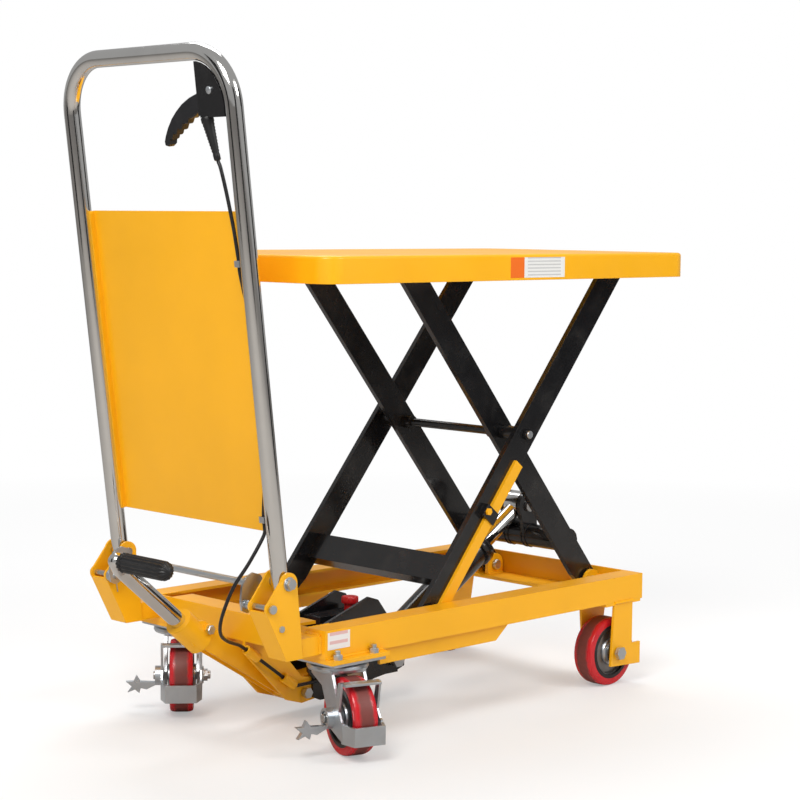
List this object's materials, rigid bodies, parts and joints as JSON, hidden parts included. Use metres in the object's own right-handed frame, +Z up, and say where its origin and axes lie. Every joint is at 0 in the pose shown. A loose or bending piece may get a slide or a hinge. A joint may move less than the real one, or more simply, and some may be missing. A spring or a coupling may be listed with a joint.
{
  "type": "scissor lift table",
  "caption": "Mobile hydraulic scissor lift table with a flat deck, foot pump, push handle with release trigger, fixed front wheels and braked swivel casters.",
  "frame": {"origin": "floor point under the frame's plane of symmetry, midway along the overall length", "axes": "+X to the front, away from the push handle; +Y to the left; +Z up"},
  "size_m": [0.9145, 0.4577, 0.886],
  "materials": {
    "amber_paint": "semi-gloss powder coat, amber yellow",
    "black_paint": "satin black paint",
    "zinc_plate": "bright zinc plating",
    "steel_pin": "turned steel, lightly oiled",
    "chrome": "polished chrome plating",
    "red_plastic": "moulded red plastic",
    "black_rubber": "matte moulded rubber",
    "black_plastic": "matte black plastic",
    "red_polyurethane": "cast polyurethane, worn in the middle",
    "hub_alloy": "cast aluminium"
  },
  "bodies": {
    "base": {"side_rail_left": "amber_paint", "side_rail_right": "amber_paint", "rear_beam": "amber_paint", "front_beam": "amber_paint", "pivot_lugs": "amber_paint", "skirt_plates": "amber_paint", "caster_mounts": "amber_paint", "caster_top_plates": "zinc_plate", "wheel_brackets": "amber_paint", "handle_brackets": "amber_paint", "pedal_bracket": "amber_paint", "pump_cradle": "black_paint", "base_pins": "steel_pin", "base_bolts": "zinc_plate", "cable_lower": "black_plastic"},
    "inner_frame": {"inner_arm_left": "black_paint", "inner_arm_right": "black_paint", "torque_tube": "black_paint", "clevis_lugs": "black_paint", "centre_rod": "black_paint", "inner_pins": "steel_pin"},
    "outer_frame": {"outer_arm_left": "black_paint", "outer_arm_right": "black_paint", "cross_tube": "black_paint", "outer_pins": "steel_pin", "safety_bar": "amber_paint"},
    "deck": {"deck_pan": "amber_paint", "deck_underframe": "amber_paint", "deck_pins": "steel_pin"},
    "lower_roller_left": {"roller_lower_left": "steel_pin"},
    "lower_roller_right": {"roller_lower_right": "steel_pin"},
    "upper_roller_left": {"roller_upper_left": "steel_pin"},
    "upper_roller_right": {"roller_upper_right": "steel_pin"},
    "pump": {"pump_body": "black_paint", "release_knob": "red_plastic"},
    "release": {"release_arm": "steel_pin"},
    "plunger": {"pump_plunger": "steel_pin"},
    "rod": {"piston_rod": "chrome"},
    "pedal": {"pedal_lever": "amber_paint", "pedal_tube": "chrome", "pedal_grip": "black_rubber"},
    "handle": {"handle_tube": "chrome", "handle_panel": "amber_paint", "trigger_bracket": "black_paint", "cable_clips": "zinc_plate", "cable_upper": "black_plastic"},
    "trigger": {"trigger_lever": "black_plastic"},
    "latch": {"latch": "zinc_plate"},
    "caster_left": {"caster_fork_left": "zinc_plate"},
    "caster_right": {"caster_fork_right": "zinc_plate"},
    "brake_left": {"caster_brake_left": "zinc_plate"},
    "brake_right": {"caster_brake_right": "zinc_plate"},
    "rear_wheel_left": {"rear_tyre_left": "red_polyurethane", "rear_hub_left": "hub_alloy"},
    "rear_wheel_right": {"rear_tyre_right": "red_polyurethane", "rear_hub_right": "hub_alloy"},
    "front_wheel_left": {"front_tyre_left": "red_polyurethane", "front_hub_left": "hub_alloy"},
    "front_wheel_right": {"front_tyre_right": "red_polyurethane", "front_hub_right": "hub_alloy"}
  },
  "joints": [
    {"name": "lift", "type": "hinge", "parent": "base", "child": "inner_frame", "pos_m": [0.357, 0, 0.1425], "axis": [0, 1, 0], "range_deg": [-36, 8]},
    {"name": "scissor_cross", "type": "hinge", "parent": "inner_frame", "child": "outer_frame", "pos_m": [0.1655, 0, 0.37731], "axis": [0, 1, 0], "range_deg": [-16.5, 74.5]},
    {"name": "deck_pivot", "type": "hinge", "parent": "outer_frame", "child": "deck", "pos_m": [0.357, 0, 0.61212], "axis": [0, 1, 0], "range_deg": [-36.5, 8.5]},
    {"name": "lower_roller_left_spin", "type": "hinge", "parent": "outer_frame", "child": "lower_roller_left", "pos_m": [-0.02601, 0.166, 0.1425], "axis": [0, 1, 0], "continuous": true},
    {"name": "lower_roller_right_spin", "type": "hinge", "parent": "outer_frame", "child": "lower_roller_right", "pos_m": [-0.02601, -0.166, 0.1425], "axis": [0, 1, 0], "continuous": true},
    {"name": "upper_roller_left_spin", "type": "hinge", "parent": "inner_frame", "child": "upper_roller_left", "pos_m": [-0.02601, 0.118, 0.61212], "axis": [0, 1, 0], "continuous": true},
    {"name": "upper_roller_right_spin", "type": "hinge", "parent": "inner_frame", "child": "upper_roller_right", "pos_m": [-0.02601, -0.118, 0.61212], "axis": [0, 1, 0], "continuous": true},
    {"name": "cylinder_swing", "type": "hinge", "parent": "base", "child": "pump", "pos_m": [0.02, 0, 0.062], "axis": [0, 1, 0], "range_deg": [-0.3, 1]},
    {"name": "rod_slide", "type": "slide", "parent": "pump", "child": "rod", "axis": [0.8447, 0, 0.5353], "range_m": [-0.075, 0.018]},
    {"name": "release_valve", "type": "hinge", "parent": "pump", "child": "release", "pos_m": [-0.036, -0.028, 0.05], "axis": [0, 1, 0], "range_deg": [-16, 0], "stiffness_Nm_per_rad": 0.5},
    {"name": "plunger_stroke", "type": "slide", "parent": "pump", "child": "plunger", "axis": [0, 0, 1], "range_m": [0, 0.0195], "stiffness_N_per_m": 1500, "springref_m": -0.002},
    {"name": "pedal", "type": "hinge", "parent": "base", "child": "pedal", "pos_m": [-0.145, 0, 0.04], "axis": [0, 1, 0], "range_deg": [-18, 0], "stiffness_Nm_per_rad": 25, "springref_deg": 20.05},
    {"name": "handle_fold", "type": "hinge", "parent": "base", "child": "handle", "pos_m": [-0.306, 0, 0.227], "axis": [0, 1, 0], "range_deg": [0, 10]},
    {"name": "trigger_squeeze", "type": "hinge", "parent": "handle", "child": "trigger", "pos_m": [-0.38304, -0.128, 0.82838], "axis": [0.9919, 0, 0.1271], "range_deg": [0, 22], "stiffness_Nm_per_rad": 0.8, "springref_deg": -5.73},
    {"name": "latch_release", "type": "hinge", "parent": "base", "child": "latch", "pos_m": [-0.335, 0, 0.199], "axis": [0, 1, 0], "range_deg": [0, 14], "stiffness_Nm_per_rad": 2, "springref_deg": -2.86},
    {"name": "caster_left_swivel", "type": "hinge", "parent": "base", "child": "caster_left", "pos_m": [-0.203, 0.158, 0.11], "axis": [0, 0, 1], "continuous": true},
    {"name": "caster_right_swivel", "type": "hinge", "parent": "base", "child": "caster_right", "pos_m": [-0.203, -0.158, 0.11], "axis": [0, 0, 1], "continuous": true},
    {"name": "rear_wheel_left_spin", "type": "hinge", "parent": "caster_left", "child": "rear_wheel_left", "pos_m": [-0.22871, 0.12736, 0.05], "axis": [0.766, -0.6428, 0], "continuous": true},
    {"name": "rear_wheel_right_spin", "type": "hinge", "parent": "caster_right", "child": "rear_wheel_right", "pos_m": [-0.21536, -0.19604, 0.05], "axis": [0.9511, -0.309, 0], "continuous": true},
    {"name": "brake_left_press", "type": "hinge", "parent": "caster_left", "child": "brake_left", "pos_m": [-0.22871, 0.12736, 0.05], "axis": [0.766, -0.6428, 0], "range_deg": [0, 10]},
    {"name": "brake_right_press", "type": "hinge", "parent": "caster_right", "child": "brake_right", "pos_m": [-0.21536, -0.19604, 0.05], "axis": [0.9511, -0.309, 0], "range_deg": [0, 10]},
    {"name": "front_wheel_left_spin", "type": "hinge", "parent": "base", "child": "front_wheel_left", "pos_m": [0.327, 0.16, 0.05], "axis": [0, 1, 0], "continuous": true},
    {"name": "front_wheel_right_spin", "type": "hinge", "parent": "base", "child": "front_wheel_right", "pos_m": [0.327, -0.16, 0.05], "axis": [0, 1, 0], "continuous": true}
  ],
  "couplings": [
    {"joint": "scissor_cross", "follows": "lift", "ratio": -2},
    {"joint": "deck_pivot", "follows": "lift", "ratio": 1},
    {"joint": "cylinder_swing", "follows": "lift", "ratio": -0.02},
    {"joint": "rod_slide", "follows": "lift", "m_per_rad": 0.112},
    {"joint": "release_valve", "follows": "trigger_squeeze", "ratio": -0.7},
    {"joint": "plunger_stroke", "follows": "pedal", "m_per_rad": -0.058}
  ]
}
